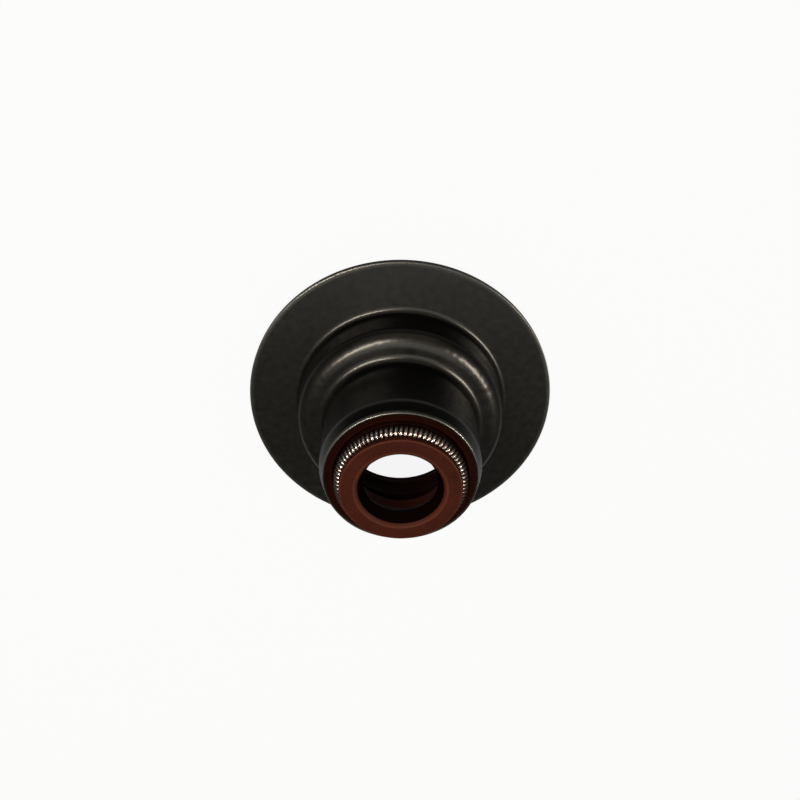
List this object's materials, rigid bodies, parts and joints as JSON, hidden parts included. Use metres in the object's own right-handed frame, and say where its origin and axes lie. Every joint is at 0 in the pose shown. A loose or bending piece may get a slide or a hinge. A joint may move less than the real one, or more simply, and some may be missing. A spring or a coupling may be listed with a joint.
{
  "type": "valve stem seal",
  "caption": "Valve stem seal: drawn steel case with a flanged spring seat, moulded rubber lip and garter spring.",
  "frame": {"origin": "on the symmetry axis, in the plane of the flange's underside, which stands on the cylinder head", "axes": "+Z along the symmetry axis, from the flange towards the narrow end with the sealing lip; +X and +Y radial"},
  "size_m": [0.031, 0.031, 0.0152],
  "materials": {
    "case_steel": "phosphated and oiled, satin",
    "seal_rubber": "matte moulded fluoro-rubber",
    "spring_steel": "bright drawn wire"
  },
  "bodies": {
    "root": {"steel_case": "case_steel", "rubber_seal": "seal_rubber", "garter_spring": "spring_steel"}
  },
  "joints": []
}
